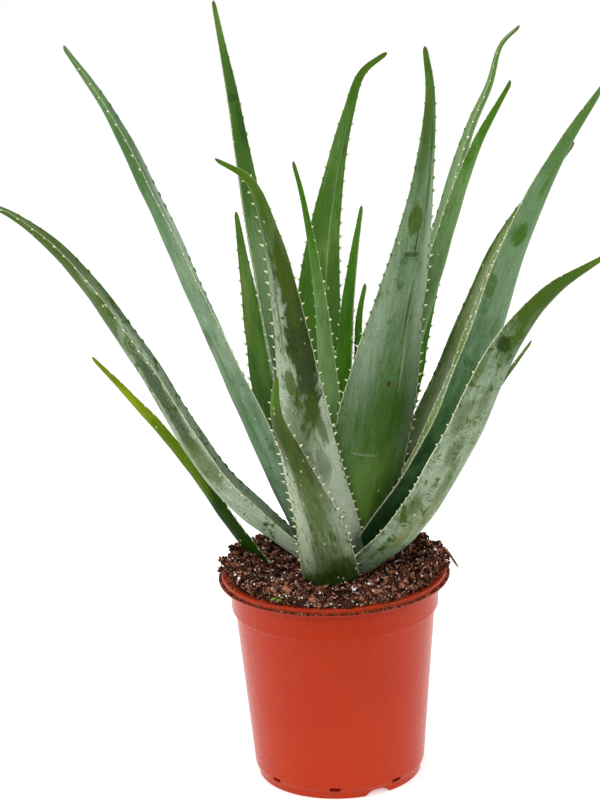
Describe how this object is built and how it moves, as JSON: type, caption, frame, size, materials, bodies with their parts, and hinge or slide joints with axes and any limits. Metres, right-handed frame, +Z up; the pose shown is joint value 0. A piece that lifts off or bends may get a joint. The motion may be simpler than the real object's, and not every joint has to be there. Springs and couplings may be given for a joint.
{
  "type": "potted aloe plant",
  "caption": "Potted aloe: a rosette of long fleshy leaves with toothed margins, in soil in a round terracotta-red plastic nursery pot.",
  "frame": {"origin": "centre of the flat pad under the pot, on the plane that the pot stands on", "axes": "+Z up along the pot's axis, -Y towards the front, which is the side of the short leaf"},
  "size_m": [0.4443, 0.3019, 0.5622],
  "materials": {
    "pot_plastic": "satin injection-moulded plastic, terracotta red",
    "potting_soil": "coarse damp peat with white perlite grains",
    "stem": "pale fibrous stem",
    "leaf": "smooth waxy skin with a grey-green bloom",
    "leaf_young": "smooth waxy skin, brighter green with little bloom",
    "leaf_pale": "smooth waxy skin, yellow-green"
  },
  "bodies": {
    "root": {"pot": "pot_plastic", "soil": "potting_soil", "stem": "stem", "leaf_front_short": "leaf", "leaf_front_curled": "leaf", "leaf_low_right": "leaf", "leaf_tall_right": "leaf", "leaf_channelled_right": "leaf", "leaf_right_behind": "leaf", "leaf_broad_centre": "leaf", "leaf_narrow_right": "leaf", "leaf_high_right": "leaf", "leaf_long_left": "leaf", "leaf_thin_left": "leaf_pale", "leaf_upper_left": "leaf", "leaf_tallest": "leaf", "leaf_left_back": "leaf", "leaf_narrow_centre": "leaf_young", "leaf_inner_right": "leaf_young", "leaf_inner_small": "leaf_young", "leaf_tall_back": "leaf", "leaf_small_right": "leaf_young"}
  },
  "joints": []
}
